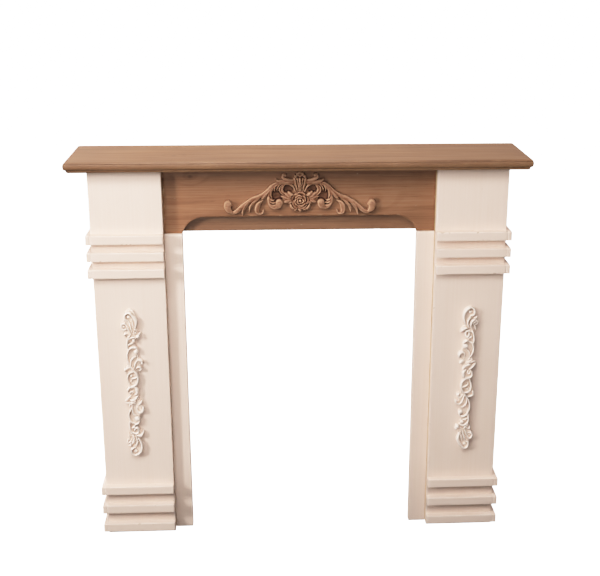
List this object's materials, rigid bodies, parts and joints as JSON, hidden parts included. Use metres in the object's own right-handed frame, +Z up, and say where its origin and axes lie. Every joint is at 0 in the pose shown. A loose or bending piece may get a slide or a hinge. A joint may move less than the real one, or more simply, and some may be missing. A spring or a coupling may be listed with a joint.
{
  "type": "fireplace mantel",
  "caption": "Decorative mantel surround: stained shelf and arched frieze with carved crest, on cream painted box pilasters with banded tops and feet.",
  "frame": {"origin": "on the floor, in the middle of the shelf's width and depth", "axes": "+X to the right seen from the room, +Y back to the wall, +Z up; the front faces -Y"},
  "size_m": [1.1, 0.22, 0.985],
  "materials": {
    "stained_pine": "warm brown stain, satin, worn at the edges",
    "carved_pine": "warm brown stain over carving, darker in the hollows",
    "cream_paint": "brushed cream paint on wood, matte",
    "cream_carving": "cream paint on carving, matte",
    "bare_pine": "unpainted planed pine",
    "screw_steel": "zinc plated"
  },
  "bodies": {
    "root": {"centre_ornament": "carved_pine", "frieze_back_rail": "stained_pine", "frieze_front_board": "stained_pine", "left_lower_band_1_front": "cream_paint", "left_lower_band_1_side": "cream_paint", "left_lower_band_2_front": "cream_paint", "left_lower_band_2_side": "cream_paint", "left_lower_band_3_front": "cream_paint", "left_lower_band_3_side": "cream_paint", "left_pilaster_bottom_board": "bare_pine", "left_pilaster_front": "cream_paint", "left_pilaster_inner_side": "bare_pine", "left_pilaster_ornament": "cream_carving", "left_pilaster_outer_side": "cream_paint", "left_pilaster_top_board": "bare_pine", "left_return_batten": "bare_pine", "left_return_panel": "cream_paint", "left_upper_band_1_front": "cream_paint", "left_upper_band_1_side": "cream_paint", "left_upper_band_2_front": "cream_paint", "left_upper_band_2_side": "cream_paint", "left_upper_band_3_front": "cream_paint", "left_upper_band_3_side": "cream_paint", "mantel_shelf": "stained_pine", "return_batten_screws": "screw_steel", "right_lower_band_1_front": "cream_paint", "right_lower_band_1_side": "cream_paint", "right_lower_band_2_front": "cream_paint", "right_lower_band_2_side": "cream_paint", "right_lower_band_3_front": "cream_paint", "right_lower_band_3_side": "cream_paint", "right_pilaster_bottom_board": "bare_pine", "right_pilaster_front": "cream_paint", "right_pilaster_inner_side": "bare_pine", "right_pilaster_ornament": "cream_carving", "right_pilaster_outer_side": "cream_paint", "right_pilaster_top_board": "bare_pine", "right_return_batten": "bare_pine", "right_return_panel": "cream_paint", "right_upper_band_1_front": "cream_paint", "right_upper_band_1_side": "cream_paint", "right_upper_band_2_front": "cream_paint", "right_upper_band_2_side": "cream_paint", "right_upper_band_3_front": "cream_paint", "right_upper_band_3_side": "cream_paint", "shelf_batten": "bare_pine", "shelf_screws": "screw_steel", "wall_rail": "bare_pine", "wall_rail_screws": "screw_steel"}
  },
  "joints": []
}
